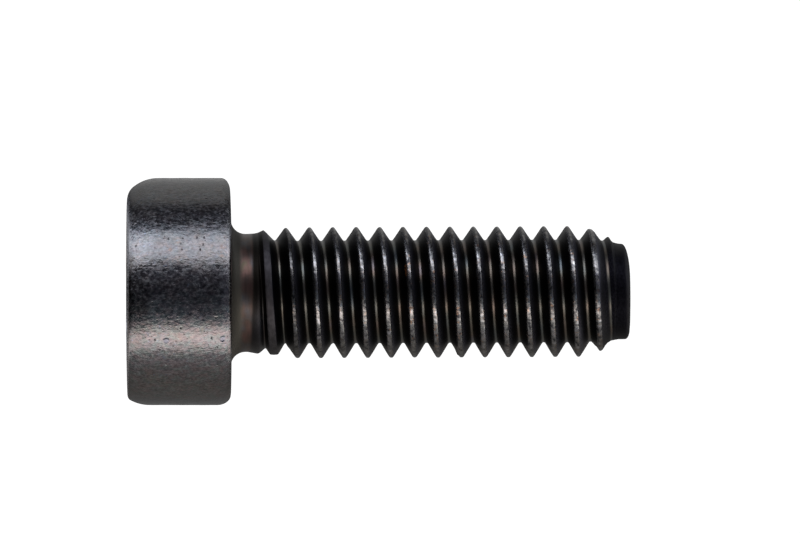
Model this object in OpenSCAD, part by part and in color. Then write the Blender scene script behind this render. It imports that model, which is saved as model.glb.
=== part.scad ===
// Hexalobular socket cap screw, M4 x 0.7, nominal length 12.
// One turned and rolled piece of steel. Millimetres.
// The origin is on the thread axis in the bearing face under the head.
// +Z runs along the thread to its tip, and the head hangs below, so the
// screw stands on the drive face of its head.

/* [Head] */
// Diameter of the head
head_d = 6.79; // [6.5:0.01:7.2]
// Height of the head, from the bearing face to the drive face
head_h = 3.12; // [2.9:0.01:4]
// Radius of the large rounding around the drive face
rim_r = 1.21; // [1.1:0.01:1.3]
// Height above the drive face at which the large rounding meets the head's side
rim_h = 0.85; // [0.75:0.01:0.95]
// Lean of the large rounding, in degrees, left by the heading die
rim_lean = 3.9; // [0:0.1:4.5]
// Radius of the edge between the head's side and the bearing face
seat_edge_r = 0.30; // [0.15:0.01:0.5]

/* [Hexalobular socket] */
// Diameter over the points of the six lobes (No. 20 socket)
socket_a = 3.95; // [3.93:0.01:4.01]
// Diameter between the flutes (No. 20 socket)
socket_b = 2.85; // [2.83:0.01:2.88]
// Radius at the tip of each lobe
lobe_r = 0.305; // [0.27:0.005:0.32]
// Depth of the socket's straight wall at the tips of the lobes
socket_depth = 1.55; // [1.4:0.01:1.7]
// Further depth of the cone at the bottom of the socket
socket_cone = 0.60; // [0.3:0.01:0.7]
// Largest diameter of the countersink at the socket's mouth
mouth_d = 4.10; // [4.08:0.01:4.3]
// Depth of the countersink where it runs out at the flutes
mouth_depth = 0.30; // [0.15:0.01:0.45]

/* [Shank] */
// Length from the bearing face to the end of the shank
length = 11.93; // [8:0.01:30]
// Diameter of the plain neck, which is the rolled thread's blank
neck_d = 3.53; // [3.45:0.01:3.6]
// Length of the plain neck, from the bearing face to the first rise of the thread
neck_length = 0.72; // [0.6:0.01:1.2]
// Radius of the fillet between the bearing face and the neck
neck_fillet = 0.43; // [0.2:0.01:0.5]

/* [Thread] */
// Outside diameter of the thread
thread_d = 3.93; // [3.83:0.01:3.98]
// Length of the tapered end of the thread
thread_runout = 0.75; // [0.6:0.01:1]

/* [Plain end] */
// Diameter of the plain stub left beyond the thread
stub_d = 2.86; // [2.7:0.01:2.95]
// Length of the stub beyond the thread's taper
stub_length = 0.52; // [0.45:0.01:0.8]
// Radius of the sharp side of the end's edge
end_edge_r = 0.17; // [0.1:0.01:0.2]
// Radius of the wide rounding that wears one side of the end face
end_dome_r = 3.0; // [2.6:0.1:4]
// Sideways shift of the wide rounding from the axis
end_shift = 0.5; // [0.3:0.05:0.6]

/* [Hidden] */
$fn = 96;
// Curves cross by this much where they would only touch
nip = 0.012;
head_r = head_d / 2;
neck_r = neck_d / 2;
thread_r = thread_d / 2;
stub_r = stub_d / 2;
// Centre circle of the large rounding
rim_ring_r = head_r - rim_r + nip;
// Centres of the lobe circles and of the flute circles, which are made tangent
// by the flute's own radius
lobe_c = socket_a / 2 - lobe_r;
flute_b = socket_b / 2;
flute_r = (lobe_r * lobe_r - lobe_c * lobe_c - flute_b * flute_b
           + 2 * lobe_c * flute_b * cos(30))
          / (2 * (flute_b - lobe_c * cos(30) - lobe_r));
flute_c = flute_b + flute_r;
// Distance from the axis to the point where lobe and flute meet
join_x = lobe_c + lobe_r * (flute_c * cos(30) - lobe_c) / (lobe_r + flute_r);
join_y = lobe_r * flute_c * sin(30) / (lobe_r + flute_r);
join_r = sqrt(join_x * join_x + join_y * join_y);
// Radius that the countersink loses for each millimetre of depth
mouth_slope = (mouth_d / 2 - flute_b + 0.02) / mouth_depth;
// Heights along the shank
thread_z0 = neck_length;
thread_z1 = length - stub_length - thread_runout;
stub_z = length - stub_length;
// Flat circle inside the wide rounding of the end face
end_flat_r = 0.80;

// What lies outside an arc of radius r in the corner at [x, z], in the quadrant
// that sx and sz point to.
module corner(x, z, r, sx, sz) {
    difference() {
        translate([sx > 0 ? x - r : x - 1, sz > 0 ? z - r : z - 1])
            square([1 + r, 1 + r]);
        translate([x - sx * r, z - sz * r])
            circle(r = r + 0.002);
    }
}

// Section of the head: a plain disc with its bearing edge rounded.
module head_section() {
    difference() {
        translate([0, -head_h])
            square([head_r, head_h]);
        corner(head_r, 0, seat_edge_r, 1, 1);
    }
}

// The large rounding around the drive face, as the ring of metal it leaves out.
module rim_waste() {
    translate([0, 0, -head_h + rim_h])
        rotate([0, rim_lean, 0])
            rotate_extrude()
                difference() {
                    translate([rim_ring_r, -3])
                        square([3, 3]);
                    translate([rim_ring_r, 0])
                        circle(r = rim_r);
                }
}

// Outline of the six-lobed socket.
module socket_outline() {
    difference() {
        circle(r = join_r);
        for (i = [0:5])
            rotate(60 * i + 30)
                translate([flute_c, 0])
                    circle(r = flute_r);
    }
    for (i = [0:5])
        rotate(60 * i)
            translate([lobe_c, 0])
                circle(r = lobe_r + 0.004);
}

// The socket: a six-lobed wall, a coned bottom and a short countersink.
module socket_space() {
    translate([0, 0, -head_h]) {
        intersection() {
            translate([0, 0, -1])
                linear_extrude(height = socket_depth + socket_cone + 1)
                    socket_outline();
            union() {
                translate([0, 0, -2])
                    cylinder(h = socket_depth + 2, r = socket_a / 2 + 0.3);
                translate([0, 0, socket_depth - 0.001])
                    cylinder(h = socket_cone + 0.09,
                             r1 = socket_a / 2 + 0.3, r2 = 0.001);
            }
        }
        translate([0, 0, -0.1])
            cylinder(h = mouth_depth + 0.1,
                     r1 = mouth_d / 2 + 0.1 * mouth_slope,
                     r2 = mouth_d / 2 - mouth_depth * mouth_slope);
    }
}

// Section of the shank: fillet, plain neck, the thread as a plain barrel of its
// outside diameter, its taper, and the stub.
module shank_section() {
    translate([0, -0.5])
        square([neck_r, thread_z0 + 0.5]);
    difference() {
        translate([0, -0.5])
            square([neck_r + neck_fillet - 0.012, neck_fillet + 0.5 - 0.012]);
        translate([neck_r + neck_fillet, neck_fillet])
            circle(r = neck_fillet);
    }
    polygon([
        [0, thread_z0 - 0.2],
        [neck_r - 0.06, thread_z0 - 0.2],
        [neck_r + 0.01, thread_z0],
        [thread_r, thread_z0 + 0.17],
        [thread_r, thread_z1],
        [thread_r - 0.10, thread_z1 + thread_runout * 0.33],
        [thread_r - 0.32, thread_z1 + thread_runout * 0.85],
        [stub_r + 0.02, stub_z],
        [0, stub_z]
    ]);
    difference() {
        translate([0, stub_z - 0.3])
            square([stub_r, stub_length + 0.3]);
        corner(stub_r, length, end_edge_r, 1, 1);
    }
}

// The wide rounding on one side of the end face, as the metal it leaves out.
module end_waste() {
    translate([end_shift, 0, length])
        rotate_extrude()
            difference() {
                translate([end_flat_r, -0.8])
                    square([3, 1.2]);
                translate([end_flat_r, 0.002 - end_dome_r])
                    circle(r = end_dome_r);
            }
}

module cap_screw() {
    color([0.13, 0.13, 0.14])
        difference() {
            union() {
                rotate_extrude() head_section();
                rotate_extrude() shank_section();
            }
            rim_waste();
            socket_space();
            end_waste();
        }
}

cap_screw();
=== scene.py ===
# A hexalobular socket cap screw, M4 x 0.7 x 12: its looks, in metres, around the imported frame.
import math

import bpy
import numpy as np
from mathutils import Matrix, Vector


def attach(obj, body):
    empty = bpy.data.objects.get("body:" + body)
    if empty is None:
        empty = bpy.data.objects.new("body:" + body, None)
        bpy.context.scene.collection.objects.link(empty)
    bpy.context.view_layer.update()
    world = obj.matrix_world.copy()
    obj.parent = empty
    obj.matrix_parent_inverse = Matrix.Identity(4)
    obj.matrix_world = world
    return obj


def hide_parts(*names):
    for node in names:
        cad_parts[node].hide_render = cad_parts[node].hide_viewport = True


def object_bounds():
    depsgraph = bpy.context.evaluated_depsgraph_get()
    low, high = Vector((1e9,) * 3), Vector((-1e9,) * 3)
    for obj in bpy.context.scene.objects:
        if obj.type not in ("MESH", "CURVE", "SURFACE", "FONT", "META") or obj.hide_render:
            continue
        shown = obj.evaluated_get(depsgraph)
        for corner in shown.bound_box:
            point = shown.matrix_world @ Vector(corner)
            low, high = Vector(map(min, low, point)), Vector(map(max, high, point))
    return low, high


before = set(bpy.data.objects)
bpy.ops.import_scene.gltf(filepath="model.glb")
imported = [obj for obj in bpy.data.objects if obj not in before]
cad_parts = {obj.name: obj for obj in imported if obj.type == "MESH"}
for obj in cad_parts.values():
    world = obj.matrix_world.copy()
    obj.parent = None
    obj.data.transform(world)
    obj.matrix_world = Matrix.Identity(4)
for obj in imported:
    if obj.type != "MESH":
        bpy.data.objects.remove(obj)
cad_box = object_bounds()

MM = 0.001
TAU = 2 * math.pi

# ---------------------------------------------------------------- sizes, mm
PITCH = 0.7
CREST_0 = 2.0          # height of the crest line at angle 0, turn 0
HEAD_R = 3.3945
HEAD_H = 3.12
NECK_R = 1.765
FILLET = 0.43
LEAN = (0.0436, -0.00425)   # the middle of the shank's outline: offset at z = 0, and its slope
LOBE = 0.047                # the rolled shank is very slightly three-lobed


def lobed(z):
    t = np.clip(np.asarray(z, float) / 0.30, 0, 1)
    return LOBE * t * t * (3 - 2 * t)


def shank_x(z):
    tip = np.clip((np.asarray(z, float) - 10.9) / 0.25, 0, 1)      # the stub is a touch off the thread's axis
    return LEAN[0] + LEAN[1] * z - lobed(z) + 0.019 * tip


# ---------------------------------------------------------------- seeded noise
def _hash(ix, iy, iz, seed):
    h = (
        ix.astype(np.int64) * 73856093
        ^ iy.astype(np.int64) * 19349663
        ^ iz.astype(np.int64) * 83492791
        ^ (seed * 2654435761)
    ) & 0xFFFFFFFF
    h = ((h ^ (h >> 15)) * 2246822519) & 0xFFFFFFFF
    h = ((h ^ (h >> 13)) * 3266489917) & 0xFFFFFFFF
    h = h ^ (h >> 16)
    return (h & 0xFFFFFF) / float(0xFFFFFF)


def noise(p, size, seed):
    """Smooth value noise of points p (..., 3) in mm, from -1 to 1, with cells of that size."""
    q = np.asarray(p) / size + 100.0
    i = np.floor(q)
    f = q - i
    f = f * f * (3 - 2 * f)
    out = 0.0
    for dx in (0, 1):
        for dy in (0, 1):
            for dz in (0, 1):
                w = (
                    (f[..., 0] if dx else 1 - f[..., 0])
                    * (f[..., 1] if dy else 1 - f[..., 1])
                    * (f[..., 2] if dz else 1 - f[..., 2])
                )
                out = out + w * _hash(i[..., 0] + dx, i[..., 1] + dy, i[..., 2] + dz, seed)
    return out * 2 - 1


# ---------------------------------------------------------------- the screw's surface
N = 252                      # columns around the axis, 42 in each sixth
SIXTH = N // 6
TH = np.arange(N) * TAU / N

verts, masks = [], []        # (N, 3) arrays in mm, ring after ring
MASKS = ("crest", "root", "side", "tail", "stub", "neck", "ridge", "socket", "headside", "face")


def ring(r, z, th=TH, x0=0.0, **mask):
    r, z, th = (np.broadcast_to(np.asarray(a, float), (N,)) for a in (r, z, th))
    x0 = np.broadcast_to(np.asarray(x0, float), (N,))
    verts.append(np.stack([x0 + r * np.cos(th), r * np.sin(th), z], 1))
    masks.append(
        np.stack([np.broadcast_to(np.asarray(mask.get(m, 0.0), float), (N,)) for m in MASKS], 1)
    )
    return len(verts) - 1


# The socket: six lobes of 0.305 mm joined by flutes, sampled evenly along its outline.
LOBE_R, LOBE_C, FLUTE_B = 0.305, 1.67, 1.425
FLUTE_R = (LOBE_R**2 - LOBE_C**2 - FLUTE_B**2 + 2 * LOBE_C * FLUTE_B * math.cos(math.pi / 6)) / (
    2 * (FLUTE_B - LOBE_C * math.cos(math.pi / 6) - LOBE_R)
)
FLUTE_C = FLUTE_B + FLUTE_R
fx, fy = FLUTE_C * math.cos(math.pi / 6), FLUTE_C * math.sin(math.pi / 6)
turn = math.atan2(fy, fx - LOBE_C)                     # where lobe and flute meet
lobe_half = LOBE_R * turn
back = math.atan2(-math.sin(turn), -math.cos(turn))    # the same point, seen from the flute's centre
mid = -math.pi + math.pi / 6
flute_span = 2 * abs((back - mid + math.pi) % TAU - math.pi)
flute_len = FLUTE_R * flute_span
sector = 2 * lobe_half + flute_len
star = []
for j in range(N):
    k, s = divmod(j, SIXTH)
    s = s / SIXTH * sector
    if s <= lobe_half:
        a = s / LOBE_R
        x, y = LOBE_C + LOBE_R * math.cos(a), LOBE_R * math.sin(a)
    elif s < lobe_half + flute_len:
        a = back - (s - lobe_half) / FLUTE_R
        x, y = fx + FLUTE_R * math.cos(a), fy + FLUTE_R * math.sin(a)
    else:
        a = (sector - s) / LOBE_R
        x, y = LOBE_C + LOBE_R * math.cos(a), -LOBE_R * math.sin(a)
        c, d = math.cos(math.pi / 3), math.sin(math.pi / 3)
        x, y = x * c - y * d, x * d + y * c
    c, d = math.cos(k * math.pi / 3), math.sin(k * math.pi / 3)
    star.append((x * c - y * d, x * d + y * c))
star = np.array(star)
STAR_R = np.hypot(star[:, 0], star[:, 1])
STAR_TH = np.unwrap(np.arctan2(star[:, 1], star[:, 0]))


def cone_z(r):
    return -HEAD_H + 2.239 - 0.3033 * r


def mouth_z(r):
    return -HEAD_H + np.maximum(2.05 - r, 0) / 2.15


def shank(r, z, **mask):
    """A ring of the shank, with its lobes."""
    r = np.broadcast_to(np.asarray(r, float), (N,))
    full = 0.64 + 0.36 * np.clip((r - 1.53) / 0.24, 0, 1)
    return ring(r + lobed(z) * full * np.cos(3 * TH) * np.clip(r / 1.4, 0, 1), z, x0=shank_x(z), **mask)


socket_tip = (0.0, 0.0, cone_z(0.0))
for f in (0.12, 0.25, 0.4, 0.55, 0.7, 0.84, 0.95, 0.985):
    ring(STAR_R * f, cone_z(STAR_R * f), STAR_TH, socket=1)
w0, w1 = cone_z(STAR_R) - 0.02, mouth_z(STAR_R)
for f in (0.0, 0.12, 0.34, 0.56, 0.78, 0.93, 1.0):
    ring(STAR_R, w0 + (w1 - w0) * f, STAR_TH, socket=1)
for f in (0.04, 0.35, 0.7, 0.97):
    r = STAR_R + (2.05 - STAR_R) * f
    ring(r, mouth_z(r), STAR_TH + (TH - STAR_TH) * f, socket=1 - 0.5 * f, face=0.5 * f)
def face_z(r):
    """The drive face: a hair inside the rim's full height, and crowned at one side."""
    return -HEAD_H + 0.012 + 0.016 * (np.maximum(np.cos(TH), 0) * np.asarray(r) / 2.94) ** 2


ring(2.075, -HEAD_H + 0.012, face=1)

# The drive face and the large rounding around it, which the die left a little askew.
rim_r = 1.21
rim_c = HEAD_R - rim_r
rim_z = -HEAD_H + 0.83 - 0.13 * np.cos(TH)
a_end = np.arcsin((rim_z + HEAD_H) / rim_r)
b1 = a_end - (0.12 - 0.06 * np.cos(TH) + 0.04 * np.cos(TH) ** 2)           # where the rounding eases over into the face
ax_, az_ = rim_c + rim_r * np.cos(b1), rim_z - rim_r * np.sin(b1)
rf = ax_ - (az_ + HEAD_H) * np.tan(b1)
r0 = rf - (0.16 - 0.09 * np.cos(TH) + 0.05 * np.cos(TH) ** 2)
for f in (0.25, 0.6):
    r = 2.075 + (r0 - 2.075) * f
    ring(r, face_z(r), face=1)
for t in (0.0, 0.2, 0.4, 0.58, 0.74, 0.88):
    r = (1 - t) ** 2 * r0 + 2 * t * (1 - t) * rf + t * t * ax_
    z = (1 - t * t) * face_z(r0) + t * t * az_
    ring(r, z, face=1 - t, headside=t)
for t in np.linspace(0, 1, 12):
    a = b1 * (1 - t)
    ring(rim_c + rim_r * np.cos(a), rim_z - rim_r * np.sin(a), headside=1)

# The head's side, its bearing edge and the bearing face.
ea = 0.355 - 0.045 * np.cos(TH)
eb = 0.350 + 0.060 * np.cos(TH)
for t in (np.arange(20) + 1) / 21:
    ring(HEAD_R, rim_z + (-eb - rim_z) * t, headside=1)
dish = 0.021 * (1 - np.cos(TH)) / 2      # the bearing face falls away a little at one side
for t in np.linspace(0, math.pi / 2, 8):
    ring(HEAD_R - ea * (1 - math.cos(t)), -dish - (eb - dish) * (1 - math.sin(t)), headside=1)
re = HEAD_R - ea
for f in (0.12, 0.4, 0.7, 0.93):
    ring(re + (NECK_R + FILLET - re) * f, -dish * max(0, 1 - f * 1.6), x0=shank_x(0) * f, face=0.6, neck=0.2)

# The fillet and the plain neck.
for t in np.linspace(0, math.pi / 2, 9):
    z = FILLET * (1 - math.cos(t))
    shank(NECK_R + FILLET * (1 - math.sin(t)), z, neck=1)
RING_A = shank(NECK_R, 0.50, neck=1)

# ---------------------------------------------------------------- the thread
# Each turn is a ridge (left edge a, middle m, right edge b) and a root (c to d). The tables
# give how each of them stands along the helix: turn, then height from the ideal crest line,
# and radius. The first turns rise out of the neck, and the last die in the stub.
RIDGE = np.array([
    # turn    a       ra      m       rm      b       rb
    [-3.00, 0.700, 1.7680, 0.712, 1.7690, 0.726, 1.7710],
    [-2.50, 0.450, 1.7760, 0.475, 1.7800, 0.495, 1.7840],
    [-2.25, 0.295, 1.7870, 0.355, 1.8030, 0.405, 1.7990],
    [-2.00, 0.120, 1.8060, 0.190, 1.8205, 0.250, 1.8060],
    [-1.75, 0.010, 1.8300, 0.090, 1.8500, 0.190, 1.8330],
    [-1.50, -0.030, 1.8540, 0.027, 1.8790, 0.115, 1.7950],
    [-1.40, -0.085, 1.8610, 0.008, 1.8650, 0.100, 1.8600],
    [-1.25, -0.118, 1.8600, -0.012, 1.8620, 0.088, 1.8610],
    [-1.00, -0.110, 1.8530, 0.000, 1.8550, 0.110, 1.8530],
    [-0.75, -0.060, 1.8930, 0.000, 1.9050, 0.065, 1.8950],
    [-0.50, -0.052, 1.9320, -0.008, 1.9500, 0.040, 1.9320],
    [0.00, -0.044, 1.9520, 0.000, 1.9610, 0.044, 1.9520],
    [11.50, -0.044, 1.9520, 0.000, 1.9600, 0.044, 1.9520],
    [12.00, -0.044, 1.9450, 0.000, 1.9510, 0.040, 1.9400],
    [12.50, -0.080, 1.8700, -0.030, 1.8740, 0.060, 1.8480],
    [13.00, -0.070, 1.7710, -0.045, 1.7770, 0.020, 1.7250],
    [13.50, -0.215, 1.6340, -0.170, 1.6460, -0.132, 1.6250],
    [13.75, -0.235, 1.5050, -0.195, 1.5080, -0.165, 1.4980],
    [14.00, -0.400, 1.4400, -0.385, 1.4390, -0.370, 1.4380],
])
ROOT = np.array([
    # turn    c       rc      d       rd      (height from the ideal crest line + half a pitch)
    [-3.00, 0.390, 1.7760, 0.415, 1.7820],
    [-2.50, 0.165, 1.7890, 0.200, 1.7960],
    [-2.35, 0.110, 1.7660, 0.130, 1.7660],
    [-2.25, 0.130, 1.7200, 0.150, 1.7200],
    [-2.12, 0.109, 1.6870, 0.126, 1.6860],
    [-2.00, 0.078, 1.6620, 0.095, 1.6590],
    [-1.75, 0.040, 1.6000, 0.065, 1.6000],
    [-1.50, -0.005, 1.5560, 0.045, 1.5520],
    [-1.25, -0.022, 1.5350, 0.027, 1.5330],
    [-1.00, -0.040, 1.5270, 0.000, 1.5310],
    [-0.50, -0.037, 1.5320, 0.037, 1.5320],
    [11.00, -0.037, 1.5320, 0.037, 1.5320],
    [11.50, -0.035, 1.5250, 0.035, 1.5250],
    [12.00, -0.037, 1.5150, 0.028, 1.5150],
    [12.50, -0.045, 1.5190, 0.020, 1.5170],
    [12.75, -0.022, 1.5150, 0.030, 1.5130],
    [12.90, -0.050, 1.4900, 0.000, 1.4800],
    [13.00, -0.100, 1.4750, -0.055, 1.4600],
    [13.50, -0.435, 1.5250, -0.415, 1.4980],
    [13.75, -0.480, 1.4420, -0.465, 1.4400],
    [14.00, -0.695, 1.4430, -0.680, 1.4400],
])
# The neck just before the first ridge, and the stub just after the last, by angle.
NECK_PT = np.array([[0.0, 0.560, 1.7665], [0.5, 0.660, 1.7700], [0.75, 0.670, 1.7750], [1.0, 0.655, 1.7820]])
STUB_PT = np.array([[0.0, 11.410, 1.4620], [0.5, 11.434, 1.4580], [1.0, 11.482, 1.4370]])
STUB_2 = (11.530, 1.4300)
K0, K1 = -3, 13
END_Z = 11.58


def look(table, tau, col):
    return np.interp(tau, table[:, 0], table[:, col])


ridge_z = lambda tau, col: CREST_0 + PITCH * tau + look(RIDGE, tau, col)
root_z = lambda tau, col: CREST_0 + PITCH * (tau + 0.5) + look(ROOT, tau, col)

turns = TH / TAU
ks = np.arange(K0, K1 + 1)
row_z, row_r, row_kind = [], [], []
polys, outline = [], []
SAG = np.array([[12.5, 0.0], [12.9, 0.030], [13.0, 0.052], [13.25, 0.02], [13.5, 0.0]])   # a hollow last flank
for j in range(N):
    f = turns[j]
    up_w, down_w = (1 - math.cos(TH[j])) / 2, (1 + math.cos(TH[j])) / 2
    extra = []
    zz, rr = [0.30, 0.50, np.interp(f, NECK_PT[:, 0], NECK_PT[:, 1])], [
        NECK_R, NECK_R, np.interp(f, NECK_PT[:, 0], NECK_PT[:, 2])]
    for k in ks:
        t = k + f
        for c, shift in ((1, 0.006 * up_w - 0.010 * down_w), (3, 0.0), (5, -0.017 * up_w)):
            zz.append(float(ridge_z(t, c)) + shift)
            rr.append(float(look(RIDGE, t, c + 1)))
        for c, shift in ((1, -0.015 * up_w), (3, 0.0)):
            zz.append(float(root_z(t, c)) + shift)
            rr.append(float(look(ROOT, t, c + 1)))
        sag = float(np.interp(t, SAG[:, 0], SAG[:, 1]))
        if sag > 0.001:
            extra.append((0.55 * zz[-3] + 0.45 * zz[-2], 0.55 * rr[-3] + 0.45 * rr[-2] - sag))
    zz += [float(np.interp(f, STUB_PT[:, 0], STUB_PT[:, 1])), STUB_2[0], 11.58, 11.75]
    rr += [float(np.interp(f, STUB_PT[:, 0], STUB_PT[:, 2])), STUB_2[1], 1.4285, 1.4285]
    zz, rr = np.array(zz), np.array(rr)
    for i in range(1, len(zz)):
        zz[i] = max(zz[i], zz[i - 1] + 0.002)
    polys.append((zz, rr))
    both = sorted(list(zip(zz.tolist(), rr.tolist())) + extra)
    outline.append((np.array([p[0] for p in both]), np.array([p[1] for p in both])))

KERNEL = ((-0.026, 1), (-0.013, 2), (0.0, 3), (0.013, 2), (0.026, 1))


def thread_r(j, z):
    zz, rr = outline[j]
    return sum(w * np.interp(z + d, zz, rr) for d, w in KERNEL) / sum(w for _, w in KERNEL)


# rows of one turn, as (from point, to point, share), with points 0..5 = a m b c d a'
ROWS = [
    (0, 1, 0.0), (0, 1, 0.5), (1, 2, 0.0), (1, 2, 0.5), (2, 3, 0.0),
    (2, 3, 0.10), (2, 3, 0.33), (2, 3, 0.60), (2, 3, 0.87),
    (3, 4, 0.0), (3, 4, 0.5), (4, 5, 0.0), (4, 5, 0.13), (4, 5, 0.40), (4, 5, 0.67), (4, 5, 0.90),
]
# how much crest, shoulder, root and flank side each row is
CREST_W = [1, 1, 1, 1, 0.9, 0.55, 0.08, 0, 0, 0, 0, 0, 0, 0, 0.20, 0.90]
TAIL_W = [0, 0, 0, 0, 0.5, 1, 0.75, 0.3, 0.03, 0, 0, 0, 0, 0, 0, 0]
ROOT_W = [0, 0, 0, 0, 0, 0, 0, 0, 0.25, 0.9, 1, 0.9, 0.25, 0, 0, 0]
RIDGE_W = [0.95, 1, 1, 1, 0.85, 0.10, 0, 0, 0, 0, 0, 0, 0, 0, 0, 0.25]
SIDE_W = [-0.6, -0.3, 0, 0.3, 0.6, 0.9, 1, 1, 0.9, 0.4, 0, -0.4, -0.9, -1, -1, -0.9]
S = len(ROWS)
R = S * len(ks)
Z = np.zeros((R, N))
RR = np.zeros((R, N))
for j in range(N):
    zz = polys[j][0]
    zs = []
    for n, k in enumerate(ks):
        i = 3 + 5 * n
        for a, b, s in ROWS:
            zs.append(zz[i + a] + (zz[i + b] - zz[i + a]) * s)
    Z[:, j] = zs
    RR[:, j] = thread_r(j, np.array(zs))

TAUS = np.repeat(ks, S)[:, None] + turns[None, :]
crest_w = np.tile(CREST_W, len(ks))[:, None] * np.ones((1, N))
LAST_W = [0.45, 0.85, 1, 1, 0.9, 0.8, 0.5, 1, 1, 1, 1, 1, 1, 1, 0, 0.2]        # the last full turn wore narrower
crest_w = crest_w * (1 - (1 - np.tile(LAST_W, len(ks))[:, None]) * np.clip((TAUS - 12.0) / 0.25, 0, 1))
root_w = np.tile(ROOT_W, len(ks))[:, None] * np.ones((1, N))
side_w = np.tile(SIDE_W, len(ks))[:, None] * np.ones((1, N))
tail_w = np.tile(TAIL_W, len(ks))[:, None] * np.ones((1, N))
flat_w = np.tile(RIDGE_W, len(ks))[:, None] * np.ones((1, N))
rise = np.clip((TAUS + 2.3) / 0.5, 0, 1) * np.clip((13.75 - TAUS) / 0.4, 0, 1)
early = np.clip((-0.82 - TAUS) / 0.2, 0, 1)           # the first, unfilled ridge
late = np.clip((TAUS - 13.30) / 0.35, 0, 1)
AFTER = [0, 0, 0, 0, 0.1, 0.4, 0.8, 1, 1, 0.3, 0, 0.3, 1, 1, 1, 1]
ending = np.tile(AFTER, len(ks))[:, None] * np.clip((TAUS - 12.40) / 0.25, 0, 1)    # past the last root, it is all stub
thin = 1 + 2.5 * np.clip((TAUS - 12.2) / 0.4, 0, 1)
pos = np.stack([
    shank_x(Z) + RR * np.cos(TH)[None, :],
    RR * np.sin(TH)[None, :] * np.ones_like(Z),
    Z,
], 2)
# rolled crests aren't quite even
wob = noise(pos, 0.55, 3) * 0.5 + noise(pos, 0.21, 4) * 0.35 + noise(pos, 0.11, 5) * 0.3
RR = RR + crest_w * rise * (1 - 0.5 * early) * (wob * 0.0065 - 0.001)
RR = RR + root_w * rise * noise(pos, 0.35, 6) * 0.0025
Z = Z + crest_w * rise * (1 - early) * (noise(pos, 0.27, 7) * 0.6 + noise(pos, 0.12, 8) * 0.5) * 0.006

# the dies stood a little askew, so the near side of each turn sits nearer the tip
SKEW = 0.0036
Z = Z - SKEW * RR * np.sin(TH)[None, :] * np.clip((Z - 0.62) / 0.5, 0, 1) * np.clip((11.5 - Z) / 0.4, 0, 1)

# nicks and raised spots: angle in degrees, height, half widths in degrees and mm, depth
DENTS = [
    (180, 7.908, 2.4, 0.020, -0.085),
    (180, 10.880, 5.0, 0.050, 0.030),
    (246, 10.235, 3.2, 0.070, -0.030),
    (2, 1.680, 8.0, 0.022, 0.030),
    (0, 3.000, 6.0, 0.022, 0.022),
    (0, 6.758, 4.0, 0.035, 0.055),
    (0, 10.164, 4.0, 0.045, -0.030),
    (0, 10.930, 8.0, 0.030, -0.022),
]
for deg, z, wd, wz, amp in DENTS:
    d = (np.degrees(TH) - deg + 180) % 360 - 180
    RR = RR + amp * np.exp(-((d[None, :] / wd) ** 2) - ((Z - z) / wz) ** 2)

ROW_0 = len(verts)
for i in range(R):
    shank(
        RR[i], Z[i],
        crest=crest_w[i] * rise[i] * (1 - late[i]) * (1 - 0.9 * early[i]) * (1 - ending[i]),
        root=root_w[i] ** thin[i] * rise[i], side=side_w[i] * rise[i],
        tail=tail_w[i] * rise[i] * (1 - late[i]) * (1 - early[i]),
        ridge=early[i] * flat_w[i] * rise[i], stub=np.maximum(late[i], ending[i]), neck=np.clip((-1.98 - TAUS[i]) / 0.3, 0, 1),
    )
ROW_1 = len(verts) - 1

# ---------------------------------------------------------------- the stub and its end
END_HI = [(1.4270, 11.620), (1.4240, 11.660), (1.4160, 11.700), (1.4000, 11.724), (1.3730, 11.749),
          (1.3250, 11.780), (1.2500, 11.812), (1.1400, 11.845), (1.0000, 11.875), (0.8500, 11.898),
          (0.6600, 11.916), (0.4400, 11.926), (0.2000, 11.930)]
END_LO = [(1.4300, 11.620), (1.4300, 11.680), (1.4300, 11.740), (1.4295, 11.785), (1.4200, 11.812),
          (1.4020, 11.838), (1.3720, 11.864), (1.3200, 11.890), (1.2350, 11.911), (1.0800, 11.923),
          (0.8200, 11.929), (0.5000, 11.930), (0.2200, 11.930)]
RING_B = shank(1.4285, END_Z, stub=1)
w = (1 - np.cos(TH)) / 2
for (r1, z1), (r0, z0) in zip(END_HI, END_LO):
    r = r0 + (r1 - r0) * w
    z = z0 + (z1 - z0) * w
    shank(r, z, stub=1)
end_tip = (shank_x(11.93), 0.0, 11.93)

# ---------------------------------------------------------------- one closed mesh
P = np.array(verts)                      # rings, N, 3
M = np.array(masks)
# the blank's own slight waves, and hammer-fine unevenness of the head
flat = P.reshape(-1, 3)
cx = np.where(flat[:, 2] > 0.02, shank_x(flat[:, 2]), 0.0)
out = flat.copy()
out[:, 0] -= cx
out[:, 2] = 0
out /= np.maximum(np.linalg.norm(out, axis=1, keepdims=True), 1e-6)
hm = M[..., MASKS.index("headside")].reshape(-1)
wave = noise(flat * (1, 1, 0.6), 0.62, 11) * 0.0035 + noise(flat, 0.28, 12) * 0.0022
flat = flat + out * (wave * hm)[:, None]
sm = M[..., MASKS.index("stub")].reshape(-1) * (flat[:, 2] < 11.72)
flat = flat + out * (noise(flat, 0.5, 13) * 0.003 * sm)[:, None]
P = flat.reshape(P.shape)

n_rings = len(verts)
idx = lambda i, j: i * N + j
V = np.vstack([P.reshape(-1, 3), [socket_tip], [end_tip]])
TIP_A, TIP_B = n_rings * N, n_rings * N + 1

# v runs along the profile, by its mean length
mean = P.mean(1)
rad = np.hypot(P[..., 0], P[..., 1]).mean(1)
seg = np.zeros(n_rings)
for i in range(1, n_rings):
    seg[i] = np.linalg.norm(P[i] - P[i - 1], axis=1).mean()
seg[0] = rad[0]
v_of = np.cumsum(seg)
v_end = v_of[-1] + rad[-1]
v_of = v_of / v_end * 0.996 + 0.002
u_of = np.arange(N + 1) / N * 0.996 + 0.002

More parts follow.
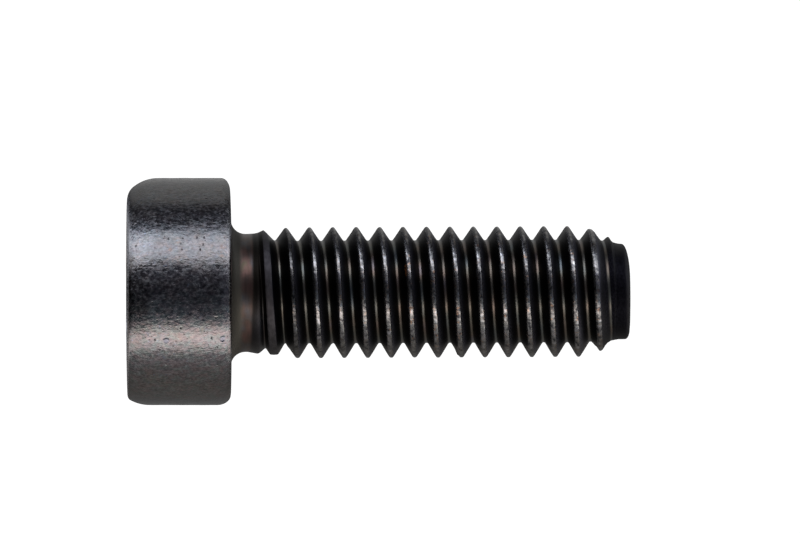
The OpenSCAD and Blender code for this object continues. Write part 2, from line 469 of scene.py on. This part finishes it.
faces, uvs = [], []
for j in range(N):
    faces.append((TIP_A, idx(0, (j + 1) % N), idx(0, j)))
    uvs.append(((u_of[j] / 2 + u_of[j + 1] / 2, 0.0005), (u_of[j + 1], v_of[0]), (u_of[j], v_of[0])))


def band(i0, i1, seam):
    for j in range(N if seam else N - 1):
        k = (j + 1) % N
        faces.append((idx(i0, j), idx(i0, k), idx(i1, k), idx(i1, j)))
        uvs.append(((u_of[j], v_of[i0]), (u_of[j + 1], v_of[i0]), (u_of[j + 1], v_of[i1]), (u_of[j], v_of[i1])))


for i in range(n_rings - 1):
    helical = RING_A <= i <= ROW_1
    band(i, i + 1, not helical)
# the thread's rows meet the next turn's rows across angle 0
last = N - 1
for i in range(ROW_0, ROW_1 + 1 - S):
    if i + 1 + S > ROW_1:
        break
    faces.append((idx(i, last), idx(i + S, 0), idx(i + 1 + S, 0), idx(i + 1, last)))
    uvs.append(((u_of[last], v_of[i]), (u_of[N], v_of[i]), (u_of[N], v_of[i + 1]), (u_of[last], v_of[i + 1])))
# the first turn starts, and the last ends, in a fan
left = [(idx(RING_A, 0), v_of[RING_A])] + [
    (idx(ROW_0 + s, 0), v_of[RING_A] + (v_of[ROW_0] - v_of[RING_A]) * (s + 1) / (S + 1)) for s in range(S)
] + [(idx(ROW_0 + S, 0), v_of[ROW_0])]
a0, b0 = idx(RING_A, last), idx(ROW_0, last)
faces.append((a0, left[0][0], b0))
uvs.append(((u_of[last], v_of[RING_A]), (u_of[N], left[0][1]), (u_of[last], v_of[ROW_0])))
for (p, vp), (q, vq) in zip(left, left[1:]):
    faces.append((p, q, b0))
    uvs.append(((u_of[N], vp), (u_of[N], vq), (u_of[last], v_of[ROW_0])))
hub_row = ROW_1 - S                      # its seam neighbour is the last row at angle 0
hub = idx(ROW_1, 0)
col = [idx(i, last) for i in range(hub_row, ROW_1 + 1)] + [idx(RING_B, last)]
colv = [v_of[i] for i in range(hub_row, ROW_1 + 1)] + [v_of[RING_B]]
for (p, vp), (q, vq) in zip(zip(col, colv), zip(col[1:], colv[1:])):
    faces.append((p, hub, q))
    uvs.append(((u_of[last], vp), (u_of[N], v_of[hub_row]), (u_of[last], vq)))
faces.append((hub, idx(RING_B, 0), idx(RING_B, last)))
uvs.append(((u_of[N], v_of[hub_row]), (u_of[N], v_of[RING_B]), (u_of[last], v_of[RING_B])))
for j in range(N):
    faces.append((idx(n_rings - 1, j), idx(n_rings - 1, (j + 1) % N), TIP_B))
    uvs.append(((u_of[j], v_of[-1]), (u_of[j + 1], v_of[-1]), (u_of[j] / 2 + u_of[j + 1] / 2, 0.9995)))

mesh = bpy.data.meshes.new("cap_screw_skin")
mesh.from_pydata((V * MM).tolist(), [], faces)
mesh.update()
uv = mesh.uv_layers.new(name="OFBake")
uv.data.foreach_set("uv", np.array([c for f in uvs for p in f for c in p], np.float32))
for n, name in enumerate(MASKS):
    att = mesh.attributes.new(name, "FLOAT", "POINT")
    vals = np.concatenate([M[..., n].reshape(-1), [1.0 if name == "socket" else 0.0], [1.0 if name == "stub" else 0.0]])
    att.data.foreach_set("value", vals.astype(np.float32))
mesh.polygons.foreach_set("use_smooth", np.ones(len(mesh.polygons), bool))
mesh.set_sharp_from_angle(angle=math.radians(52))
mesh.validate()
screw = bpy.data.objects.new("cap_screw_skin", mesh)
bpy.context.scene.collection.objects.link(screw)

# ---------------------------------------------------------------- blackened steel
mat = bpy.data.materials.new("blackened_steel")
mat.use_nodes = True
nt = mat.node_tree
bsdf = nt.nodes["Principled BSDF"]
bsdf.inputs["Metallic"].default_value = 1.0
bsdf.inputs["Specular Tint"].default_value = (0.75, 0.75, 0.75, 1.0)


def node(kind, **props):
    n = nt.nodes.new(kind)
    for k, val in props.items():
        setattr(n, k, val)
    return n


def link(a, b):
    nt.links.new(a, b)


def attr(name):
    return node("ShaderNodeAttribute", attribute_name=name).outputs["Fac"]


def put(x, socket):
    if isinstance(x, (int, float)):
        socket.default_value = x
    elif isinstance(x, tuple):
        socket.default_value = (*x, 1.0) if len(x) == 3 and socket.type == "RGBA" else x
    else:
        link(x, socket)


def math_(op, a, b=0.0, clamp=False):
    n = node("ShaderNodeMath", operation=op, use_clamp=clamp)
    put(a, n.inputs[0])
    put(b, n.inputs[1])
    return n.outputs[0]


def mul(*xs):
    out = xs[0]
    for x in xs[1:]:
        out = math_("MULTIPLY", out, x)
    return out


def add(*xs):
    out = xs[0]
    for x in xs[1:]:
        out = math_("ADD", out, x)
    return out


def mix(f, a, b, blend="MIX"):
    n = node("ShaderNodeMix", data_type="RGBA", blend_type=blend)
    put(f, n.inputs[0])
    put(a, n.inputs[6])
    put(b, n.inputs[7])
    return n.outputs[2]


def mixf(f, a, b):
    n = node("ShaderNodeMix", data_type="FLOAT")
    put(f, n.inputs[0])
    put(a, n.inputs[2])
    put(b, n.inputs[3])
    return n.outputs[0]


def times(colour, value):
    """A colour made brighter or darker by a factor."""
    n = node("ShaderNodeVectorMath", operation="SCALE")
    put(colour, n.inputs[0])
    put(value, n.inputs["Scale"])
    return n.outputs[0]


def span(x, lo, hi, a=0.0, b=1.0, smooth=True):
    n = node("ShaderNodeMapRange", interpolation_type="SMOOTHSTEP" if smooth else "LINEAR")
    put(x, n.inputs[0])
    n.inputs[1].default_value = lo
    n.inputs[2].default_value = hi
    n.inputs[3].default_value = a
    n.inputs[4].default_value = b
    return n.outputs[0]


coords = node("ShaderNodeTexCoord").outputs["Object"]
xyz = node("ShaderNodeSeparateXYZ")
link(coords, xyz.inputs[0])
height = mul(xyz.outputs[2], 1000.0)          # mm from the bearing face


def tex(per_mm, detail=2.0, rough=0.55, stretch=(1, 1, 1), offset=(0, 0, 0), distort=0.0, colour=False):
    """Noise with so many cells to the millimetre, longer where stretch is below 1."""
    m = node("ShaderNodeMapping")
    link(coords, m.inputs[0])
    m.inputs[3].default_value = tuple(per_mm * 1000 * k for k in stretch)
    m.inputs[1].default_value = offset
    n = node("ShaderNodeTexNoise")
    link(m.outputs[0], n.inputs["Vector"])
    n.inputs["Scale"].default_value = 1.0
    n.inputs["Detail"].default_value = detail
    n.inputs["Roughness"].default_value = rough
    n.inputs["Distortion"].default_value = distort
    return n.outputs["Color" if colour else "Fac"]


def cells(per_mm, stretch=(1, 1, 1), offset=(0, 0, 0)):
    """Distance to the nearest of scattered points, in cells."""
    m = node("ShaderNodeMapping")
    link(coords, m.inputs[0])
    m.inputs[3].default_value = tuple(per_mm * 1000 * k for k in stretch)
    m.inputs[1].default_value = offset
    n = node("ShaderNodeTexVoronoi")
    link(m.outputs[0], n.inputs["Vector"])
    n.inputs["Scale"].default_value = 1.0
    return n.outputs["Distance"]


def ramp_of(x, stops):
    n = node("ShaderNodeValToRGB")
    els = n.color_ramp.elements
    while len(els) > 1:
        els.remove(els[-1])
    for m, (p, c) in enumerate(stops):
        e = els[0] if m == 0 else els.new(p)
        e.position = p
        e.color = (*c, 1)
    link(x, n.inputs[0])
    return n.outputs[0]


crest, root, flank, tail = attr("crest"), attr("root"), attr("side"), attr("tail")
stub_a, neck_a, ridge_a = attr("stub"), attr("neck"), attr("ridge")
socket_a, head_a, face_a = attr("socket"), attr("headside"), attr("face")

# The forged and blackened skin: a fine glossy grain, a little longer along the axis, broken by
# duller flecks, with scattered pits and faint brown and blue films.
grain_1 = tex(9.5, 2.0, 0.60, (1, 1, 0.50), distort=0.35)
grain_2 = tex(19, 1.0, 0.5, (1, 1, 0.6), (7, 3, 1), distort=0.4)
swell = tex(2.6, 1.0, 0.5, (1, 1, 0.7), (2, 9, 4))
lace = add(mul(tex(11.5, 1.5, 0.6, (1, 1, 0.78), (1, 5, 2), distort=0.25), 0.68), mul(tex(4.2, 1.0, 0.5, (1, 1, 0.8), (6, 1, 4)), 0.32))
half = span(xyz.outputs[0], -0.0004, 0.0008)            # the +x side: grain a little more even and blushes stronger there, and the neck's colours painted lighter there, painted light
lace = mixf(mul(half, 0.42), lace, 0.53)
dull = span(lace, 0.37, 0.72, smooth=False)
film = tex(2.4, 2.5, 0.6, offset=(11, 2, 6))
fleck = tex(11, 1.0, 0.5, offset=(4, 4, 9))


def dots(places, r0, r1):
    """Round spots at given (mm along the axis, mm up the side), full inside r0 and gone at r1."""
    out = None
    for z, x in places:
        n = node("ShaderNodeVectorMath", operation="DISTANCE")
        link(coords, n.inputs[0])
        n.inputs[1].default_value = (x * MM, -math.sqrt(HEAD_R**2 - x * x) * MM, z * MM)
        d = span(n.outputs["Value"], r0 * MM, r1 * MM, 1, 0)
        out = d if out is None else math_("MAXIMUM", out, d)
    return out


PITS = [(-2.501, -1.528), (-1.892, -1.572), (-1.530, -1.442), (-1.043, -1.614), (-0.828, -1.614), (-0.216, -1.629),
        (-2.537, -1.334), (-0.950, -1.248), (-1.069, -0.918), (-2.725, -0.873), (-1.500, -1.235), (-0.860, -1.405),
        (-2.295, 1.442), (-2.151, 1.741), (-0.445, 1.666), (-0.613, 1.373), (-2.874, 1.687), (-1.530, 1.075)]
POCKS = [(-1.957, 1.466), (-0.278, 1.412)]
STAINS = [(-1.877, -1.277), (-1.995, -1.005), (-1.680, -0.957), (-0.323, -1.090), (-1.620, -1.510), (-0.278, -1.330)]
pit = math_("MAXIMUM", dots(PITS, 0.010, 0.048), mul(span(cells(2.6, (1, 1, 0.8), (3, 1, 8)), 0.03, 0.11, 1, 0), 0.8))
pit = mul(pit, span(grain_2, 0.36, 0.56, 0.35, 1.0))
pock = dots(POCKS, 0.045, 0.125)
stain = mul(dots(STAINS, 0.02, 0.16), span(fleck, 0.44, 0.56))
spot = span(cells(7.5, (1, 1, 0.7), (1, 4, 2)), 0.08, 0.22, 1, 0)

skin = ramp_of(film, [(0.30, (0.042, 0.043, 0.0445)), (0.48, (0.044, 0.044, 0.0445)), (0.60, (0.045, 0.044, 0.043)),
                      (0.75, (0.046, 0.0435, 0.041))])
blush = tex(7.0, 2.0, 0.6, (1, 1, 0.6), (8, 2, 7))
skin = mix(mul(span(blush, 0.42, 0.66), add(0.4, mul(half, 0.8))), skin, (1.10, 0.95, 0.96), "MULTIPLY")
skin = mix(mul(span(blush, 0.52, 0.34), add(0.4, mul(half, 0.8))), skin, (0.96, 1.03, 1.00), "MULTIPLY")
skin = times(skin, mul(span(grain_2, 0.3, 0.7, 0.76, 1.24), span(grain_1, 0.3, 0.7, 0.90, 1.10), span(lace, 0.34, 0.60, 0.80, 1.10)))
skin = mix(mul(dull, 0.30), skin, (0.050, 0.054, 0.062))
skin = mix(mul(span(fleck, 0.62, 0.70), 0.22), skin, (0.060, 0.044, 0.036))
skin = mix(mul(span(fleck, 0.30, 0.24), 0.5), skin, (0.050, 0.060, 0.080))
skin = mix(mul(stain, 0.50), skin, (0.052, 0.036, 0.029))
skin = mix(mul(pock, 0.6), skin, (0.040, 0.044, 0.056))
skin = mix(mul(pit, 0.80), skin, (0.010, 0.009, 0.010))
skin = mix(mul(spot, 0.55), skin, (0.014, 0.012, 0.012))

# The neck: duller, with brown and olive films in rings, and with painted shade and painted light where marked.
rings_ = tex(9, 2.0, 0.6, (0.12, 0.12, 1.0))
hollow = span(height, 0.385, 0.20)                       # the fillet, duller and olive
rise_1 = span(height, 0.580, 0.680)                       # where the neck climbs to the first ridge
neck_c = ramp_of(tex(1.9, 1.5, 0.6, (0.8, 0.8, 1.4), (8, 8, 3)), [
    (0.32, (0.0170, 0.0167, 0.0177)), (0.47, (0.0216, 0.0158, 0.0136)), (0.60, (0.0290, 0.0178, 0.0154)), (0.74, (0.0207, 0.0174, 0.0120))])
neck_c = times(neck_c, span(rings_, 0.3, 0.7, 0.86, 1.12))
# painted shade: the crease up to the first ridge is coloured near black, and painted lighter toward the +x side
neck_c = mix(rise_1, neck_c, times((0.0027, 0.0024, 0.0020), add(1.0, mul(half, 1.3))))
turned = node("ShaderNodeMath", operation="ARCTAN2")
link(xyz.outputs[1], turned.inputs[0])
link(xyz.outputs[0], turned.inputs[1])
painted_shade_strip = math_("ABSOLUTE", add(turned.outputs[0], math.radians(62)))
painted_shade_strip = span(painted_shade_strip, 0.03, 0.23, 1.0, 0.0)               # painted shade: a strip along the shank, round -62 degrees about the axis, is coloured darker
# the neck's colour darkened in the painted shade strip
neck_c = times(neck_c, add(1.14, mul(painted_shade_strip, -0.42)))
# the fillet's dull olive, painted lighter toward the +x side: painted light
neck_c = mix(hollow, neck_c, times((0.0138, 0.0131, 0.0108), add(1.0, mul(half, 0.62))))
neck_rough = mixf(rise_1, mixf(hollow, 0.37, 0.62), 0.50)

# The rolled thread: black flanks with a painted sheen on the tipward side, glossy roots under films of oxide, worn
# crests.
root_film = ramp_of(tex(0.85, 1.5, 0.7, (1, 1, 1.5), (1, 7, 3)), [
    (0.30, (0.027, 0.031, 0.033)), (0.42, (0.029, 0.030, 0.027)), (0.52, (0.032, 0.029, 0.024)),
    (0.62, (0.036, 0.028, 0.023)), (0.74, (0.033, 0.030, 0.033))])
# the flanks near black, the tipward ones painted a little lighter and bluer: painted sheen
flank_c = mix(span(flank, -0.5, 0.7), (0.0022, 0.0020, 0.0018), (0.0060, 0.0062, 0.0078))
wear_1 = tex(7.5, 1.0, 0.5, offset=(3, 3, 3))
wear_2 = tex(16, 1.0, 0.5, offset=(9, 1, 5))
rusty = mul(span(tex(5.2, 2.0, 0.65, offset=(2, 6, 6)), 0.54, 0.62), span(height, 2.5, 6.0, 0.25, 1.0))
crest_c = ramp_of(wear_1, [(0.30, (0.010, 0.010, 0.011)), (0.42, (0.036, 0.036, 0.036)), (0.55, (0.056, 0.055, 0.053)),
                           (0.70, (0.082, 0.082, 0.085))])
# the crests' colour darkened a little in the painted shade strip
crest_c = times(crest_c, mul(span(wear_2, 0.3, 0.7, 0.85, 1.15), span(height, 1.95, 2.40, 0.45, 1.0), add(1.04, mul(painted_shade_strip, -0.22))))
def marks(places):
    """Round marks on the thread: height, sideways place, radius of the surface there and size, mm."""
    out = None
    for z, x, r, size in places:
        n = node("ShaderNodeVectorMath", operation="DISTANCE")
        link(coords, n.inputs[0])
        n.inputs[1].default_value = (x * MM, -math.sqrt(r**2 - x * x) * MM, z * MM)
        d = span(n.outputs["Value"], size * 0.35 * MM, size * MM, 1, 0)
        out = d if out is None else math_("MAXIMUM", out, d)
    return out


RUST = [(5.205, -0.76, 1.90, 0.070), (5.215, -0.66, 1.90, 0.085), (5.222, -0.56, 1.90, 0.075), (5.225, -0.48, 1.90, 0.055)]
BROWN = [(6.165, 1.33, 1.95, 0.085), (6.175, 1.44, 1.95, 0.075), (3.27, 0.12, 1.96, 0.060), (3.26, 0.24, 1.96, 0.060)]
BRIGHT = [(10.245, -0.83, 1.95, 0.115)]
rust_spot = mul(marks(RUST), span(wear_2, 0.30, 0.48))
brown_spot = mul(marks(BROWN), span(wear_2, 0.36, 0.50))
crest_c = mix(mul(rusty, span(wear_2, 0.45, 0.6), 0.62), crest_c, (0.078, 0.046, 0.028))
worn = span(add(crest, mul(add(wear_1, -0.5), 0.6)), 0.42, 0.78)

# painted sheen: the tipward shoulder just past each crest is coloured lighter
flank_c = mix(tail, flank_c, (0.0195, 0.0198, 0.0245))
flank_c = times(flank_c, span(height, 10.94, 11.06, 1.0, 0.22))
# the roots' colour darkened in the painted shade strip
root_film = times(root_film, add(1.08, mul(painted_shade_strip, -0.52)))
thread_c = mix(root, flank_c, root_film)
thread_c = mix(worn, thread_c, crest_c)
thread_c = mix(mul(rust_spot, 0.85), thread_c, (0.30, 0.115, 0.035))
thread_c = mix(mul(brown_spot, 0.85), thread_c, (0.095, 0.050, 0.024))
thread_c = mix(mul(marks(BRIGHT), worn), thread_c, (0.22, 0.22, 0.215))
thread_c = mix(ridge_a, thread_c, times((0.0138, 0.0131, 0.0140), span(wear_1, 0.3, 0.7, 0.80, 1.20)))

is_thread = math_("MAXIMUM", math_("MAXIMUM", crest, root), math_("MAXIMUM", math_("ABSOLUTE", flank), ridge_a))
is_head = math_("MAXIMUM", head_a, math_("MAXIMUM", face_a, socket_a))
stub_c = times((0.0013, 0.0013, 0.0018), span(tex(24, 1.0, 0.6), 0.30, 0.70, 0.4, 1.8))

colour = mix(span(is_head, 0.2, 0.8), neck_c, skin)
colour = mix(span(is_thread, 0.02, 0.3), colour, thread_c)
colour = mix(stub_a, colour, stub_c)
put(colour, bsdf.inputs["Base Color"])

rough_h = mixf(dull, span(grain_2, 0.3, 0.7, 0.10, 0.16), 0.40)
lip = mul(span(height, -2.98, -3.08), math_("MAXIMUM", add(1.0, mul(face_a, -1.0)), 0.0))    # burnished by the heading die
rough_h = mul(rough_h, add(1.0, mul(lip, -0.45)))
rough = mixf(span(is_head, 0.2, 0.8), neck_rough, rough_h)
rough_t = mixf(root, mixf(tail, 0.30, 0.42), 0.33)
rough_t = mixf(worn, rough_t, span(wear_1, 0.35, 0.7, 0.32, 0.20))
rough_t = mixf(ridge_a, rough_t, 0.56)
rough = mixf(span(is_thread, 0.02, 0.3), rough, rough_t)
rough = mixf(stub_a, rough, 0.56)
put(rough, bsdf.inputs["Roughness"])

# relief in millimetres
relief = add(mul(grain_1, 0.0062), mul(grain_2, 0.0018), mul(swell, 0.004), mul(pit, -0.008), mul(spot, -0.0018), mul(pock, -0.010))
relief_t = mul(add(mul(wear_1, 0.0060), mul(wear_2, 0.0012)), math_("MAXIMUM", worn, mul(ridge_a, 0.5)))
relief_n = add(mul(rings_, 0.0008), mul(grain_2, 0.0012))
relief = mixf(span(is_head, 0.2, 0.8), relief_n, relief)
relief = mixf(span(is_thread, 0.02, 0.3), relief, relief_t)
relief = mixf(stub_a, relief, mul(tex(12, 2.0, 0.6, offset=(1, 1, 7)), 0.004))
bump = node("ShaderNodeBump")
bump.inputs["Strength"].default_value = 1.0
bump.inputs["Distance"].default_value = MM
link(relief, bump.inputs["Height"])
link(bump.outputs[0], bsdf.inputs["Normal"])
mesh.materials.append(mat)

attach(screw, "root")
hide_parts("cap_screw")

# ---------------------------------------------------------------- floor, light, camera
floor_mat = bpy.data.materials.new("white_floor")
floor_mat.use_nodes = True
fn = floor_mat.node_tree
fn.nodes.clear()
fo = fn.nodes.new("ShaderNodeOutputMaterial")
fe = fn.nodes.new("ShaderNodeBsdfDiffuse")
fe.inputs["Color"].default_value = (0.9, 0.9, 0.9, 1)
clear = fn.nodes.new("ShaderNodeBsdfTransparent")
under = fn.nodes.new("ShaderNodeNewGeometry")
fmix = fn.nodes.new("ShaderNodeMixShader")
fn.links.new(under.outputs["Backfacing"], fmix.inputs[0])
fn.links.new(fe.outputs[0], fmix.inputs[1])
fn.links.new(clear.outputs[0], fmix.inputs[2])
fn.links.new(fmix.outputs[0], fo.inputs[0])
lo = cad_box[0][2] if hasattr(cad_box[0], "__len__") else -HEAD_H * MM
fm = bpy.data.meshes.new("floor")
RF = 0.045
pts = [(RF * math.cos(a), RF * math.sin(a), lo) for a in np.linspace(0, TAU, 64, endpoint=False)]
fm.from_pydata(pts, [], [tuple(range(64))])
fm.materials.append(floor_mat)
floor = bpy.data.objects.new("floor", fm)
bpy.context.scene.collection.objects.link(floor)
for flag in ("visible_diffuse", "visible_glossy", "visible_transmission", "visible_shadow"):
    setattr(floor, flag, False)

# The studio: two long soft boxes beside the screw with dim gaps and paler walls, by angle around Z
# from straight behind the camera (degrees, then red, green and blue strength), and white paper
# behind the object. Set in round numbers.
UP = [
    (0, 0.1, 0.1, 0.15), (15, 0.4, 0.4, 0.5), (29, 0.35, 0.35, 0.5), (35, 9.5, 9.5, 10), (45, 8, 8, 9),
    (56, 9, 9.5, 10.5), (65, 1.8, 2, 2.5), (71, 0.3, 0.3, 0.4), (97, 0.25, 0.25, 0.3), (107, 1.6, 1.6, 1.6),
    (125, 1.4, 1.4, 1.4), (150, 0.9, 0.9, 0.9), (180, 0.45, 0.45, 0.45),
]
DOWN = [
    (0, 0.1, 0.1, 0.15), (18, 0.35, 0.4, 0.5), (32, 0.5, 0.7, 0.9), (38, 4, 4, 4), (44, 15, 13, 12),
    (50, 11, 10, 10), (57, 9, 9, 8.5), (62, 1.2, 1.4, 1.4), (72, 1.6, 1.5, 1.6), (90, 1.1, 1.05, 1),
    (120, 0.9, 0.85, 0.8), (145, 0.45, 0.45, 0.45), (180, 0.15, 0.15, 0.15),
]
TOP_LIGHT = 12.0
world = bpy.data.worlds.new("studio")
bpy.context.scene.world = world
world.use_nodes = True
wt = world.node_tree
wt.nodes.clear()
wo = wt.nodes.new("ShaderNodeOutputWorld")
bg = wt.nodes.new("ShaderNodeBackground")
paper = wt.nodes.new("ShaderNodeBackground")
paper.inputs[0].default_value = (1, 1, 1, 1)
paper.inputs[1].default_value = 1.1
lp = wt.nodes.new("ShaderNodeLightPath")
mx = wt.nodes.new("ShaderNodeMixShader")
tc = wt.nodes.new("ShaderNodeTexCoord")
sx = wt.nodes.new("ShaderNodeSeparateXYZ")
wt.links.new(tc.outputs["Generated"], sx.inputs[0])


def wmath(op, a, b=0.0):
    n = wt.nodes.new("ShaderNodeMath")
    n.operation = op
    for x, s in ((a, n.inputs[0]), (b, n.inputs[1])):
        if isinstance(x, (int, float)):
            s.default_value = x
        else:
            wt.links.new(x, s)
    return n.outputs[0]


def ramp(table, angle):
    n = wt.nodes.new("ShaderNodeValToRGB")
    n.color_ramp.interpolation = "LINEAR"
    els = n.color_ramp.elements
    while len(els) > 1:
        els.remove(els[-1])
    for m, (a, *rgb) in enumerate(table):
        e = els[0] if m == 0 else els.new(a / 180)
        e.position = a / 180
        e.color = (*(c / TOP_LIGHT for c in rgb), 1)
    wt.links.new(angle, n.inputs[0])
    return n.outputs[0]


# The boxes curve round the ends of the object, so the angle is taken about the line of sight,
# and they fall off toward the two ends and to nothing straight behind the object.
back_ = wmath("MAXIMUM", wmath("SUBTRACT", 1.0001, sx.outputs[1]), 0.0001)
tilt_c = wmath("SQRT", wmath("MAXIMUM", wmath("SUBTRACT", 1.0, wmath("DIVIDE", wmath("MULTIPLY", sx.outputs[2], sx.outputs[2]), wmath("MULTIPLY", back_, 2.0))), 0.0004))
to_head = wmath("LESS_THAN", sx.outputs[2], 0.0)
keep = wmath("ADD", 0.885, wmath("MULTIPLY", to_head, -0.2415))      # how little a rounding narrows
keep = wmath("ADD", keep, wmath("MULTIPLY", wmath("SUBTRACT", 1.0, keep), tilt_c))
side_s = wmath("DIVIDE", wmath("MULTIPLY", sx.outputs[0], -1.0), wmath("MULTIPLY", wmath("SQRT", wmath("MULTIPLY", back_, 2.0)), tilt_c))
side_s = wmath("MAXIMUM", wmath("MINIMUM", wmath("MULTIPLY", side_s, keep), 0.9999), -0.9999)
ang = wmath("MULTIPLY", wmath("ARCSINE", side_s), 2.0)


def gloss(c):
    k = wmath("SUBTRACT", 1.0, c)
    return wmath("ADD", 0.045, wmath("MULTIPLY", 0.72, wmath("POWER", k, 5.0)))


cos_side = wmath("SQRT", wmath("SUBTRACT", 1.0, wmath("MULTIPLY", side_s, side_s)))
cos_in = wmath("SQRT", wmath("MULTIPLY", back_, 0.5))
fall = wmath("DIVIDE", gloss(cos_side), gloss(cos_in))


def wspan(x, lo, hi, a, b):
    n = wt.nodes.new("ShaderNodeMapRange")
    n.interpolation_type = "SMOOTHSTEP"
    wt.links.new(x, n.inputs[0])
    for s, v in zip((1, 2, 3, 4), (lo, hi, a, b)):
        n.inputs[s].default_value = v
    return n.outputs[0]


fall = wmath("MULTIPLY", fall, wspan(back_, 0.0, 0.022, 0.15, 1.0))
share = wmath("DIVIDE", wmath("ABSOLUTE", ang), math.pi)
pick = wmath("GREATER_THAN", ang, 0.0)
cm = wt.nodes.new("ShaderNodeMix")
cm.data_type = "RGBA"
wt.links.new(pick, cm.inputs[0])
wt.links.new(ramp(DOWN, share), cm.inputs[6])
wt.links.new(ramp(UP, share), cm.inputs[7])
wt.links.new(cm.outputs[2], bg.inputs[0])
# toward the drive end and toward the tip the light is a little different
around = wmath("ADD", wmath("DIVIDE", ang, TAU), 0.5)


def gain(table, x):
    n = wt.nodes.new("ShaderNodeFloatCurve")
    c = n.mapping.curves[0]
    n.mapping.use_clip = False
    pts = [((a + 180) / 360, g) for a, g in table]
    c.points[0].location, c.points[-1].location = pts[0], pts[-1]
    for p in pts[1:-1]:
        c.points.new(*p)
    for p in c.points:
        p.handle_type = "VECTOR"
    n.mapping.update()
    wt.links.new(x, n.inputs["Value"])
    return n.outputs[0]


def lean_to(x, lo, hi, table):
    """Blend in a table of gains as the light comes more and more from one end."""
    return wmath("ADD", 1.0, wmath("MULTIPLY", wspan(x, lo, hi, 0.0, 1.0), wmath("SUBTRACT", gain(table, around), 1.0)))


HEADWARD = [(-180, 1), (-100, 1), (-70, 0.85), (-45, 0.84), (-25, 0.5), (0, 0.33), (25, 0.7), (48, 1.50), (75, 1.1), (100, 1), (180, 1)]
BEHIND = [(-180, 1), (-120, 1), (-80, 0.5), (-40, 0.3), (0, 0.3), (40, 0.3), (80, 0.5), (120, 1), (180, 1)]
SHOULDER = [(-180, 1), (-100, 1), (-70, 1), (-45, 1), (-25, 1), (0, 1), (22, 1.3), (48, 2.0), (70, 1.6), (100, 1), (180, 1)]
TIPWARD = [(-180, 1), (-100, 1), (-70, 1), (-45, 1), (-25, 1.5), (0, 1.9), (25, 1.5), (48, 1), (75, 1), (100, 1), (180, 1)]
fall = wmath("MULTIPLY", fall, lean_to(wmath("MULTIPLY", sx.outputs[2], -1.0), 0.03, 0.55, HEADWARD))
fall = wmath("MULTIPLY", fall, lean_to(sx.outputs[2], 0.10, 0.80, TIPWARD))
fall = wmath("MULTIPLY", fall, lean_to(wmath("MULTIPLY", sx.outputs[1], wmath("GREATER_THAN", sx.outputs[2], 0.0)), 0.45, 0.80, BEHIND))
fall = wmath("MULTIPLY", fall, lean_to(sx.outputs[2], 0.90, 0.98, SHOULDER))
STEEP = [(-180, 1), (-110, 1), (-80, 0.85), (-48, 0.70), (-20, 0.4), (0, 0.3), (20, 0.4), (48, 0.74), (80, 0.85), (110, 1), (180, 1)]
EDGE = [(-180, 1), (-100, 1), (-75, 1.0), (-45, 1.1), (-24, 0.25), (0, 0.05), (24, 0.25), (48, 1.3), (75, 1.0), (100, 1), (180, 1)]
fall = wmath("MULTIPLY", fall, lean_to(wmath("MULTIPLY", sx.outputs[2], -1.0), 0.82, 0.88, STEEP))
fall = wmath("MULTIPLY", fall, lean_to(wmath("MULTIPLY", sx.outputs[1], wmath("LESS_THAN", sx.outputs[2], 0.0)), 0.15, 0.60, EDGE))
wt.links.new(wmath("MULTIPLY", fall, TOP_LIGHT), bg.inputs[1])
wt.links.new(lp.outputs["Is Camera Ray"], mx.inputs[0])
wt.links.new(bg.outputs[0], mx.inputs[1])
wt.links.new(paper.outputs[0], mx.inputs[2])
wt.links.new(mx.outputs[0], wo.inputs[0])

DIST = 0.70
YAW = 0.0196
PX = 33.47
cam_data = bpy.data.cameras.new("camera")
cam_data.sensor_width = 36.0
cam_data.lens = PX * DIST * 1000 * 36.0 / 800
cam_data.clip_start = 0.05
cam_data.clip_end = 10.0
cam = bpy.data.objects.new("camera", cam_data)
bpy.context.scene.collection.objects.link(cam)
from mathutils import Matrix, Vector
target = Vector((-0.748 * MM, 0.0, 5.055 * MM))
fwd = Vector((0.0, math.cos(YAW), math.sin(YAW)))
right = Vector((0.0, -math.sin(YAW), math.cos(YAW)))
up_v = Vector((-1.0, 0.0, 0.0))
rot = Matrix((right, up_v, -fwd)).transposed()
cam.matrix_world = Matrix.Translation(target - fwd * DIST) @ rot.to_4x4()
bpy.context.scene.camera = cam
bpy.context.scene.view_settings.view_transform = "Standard"
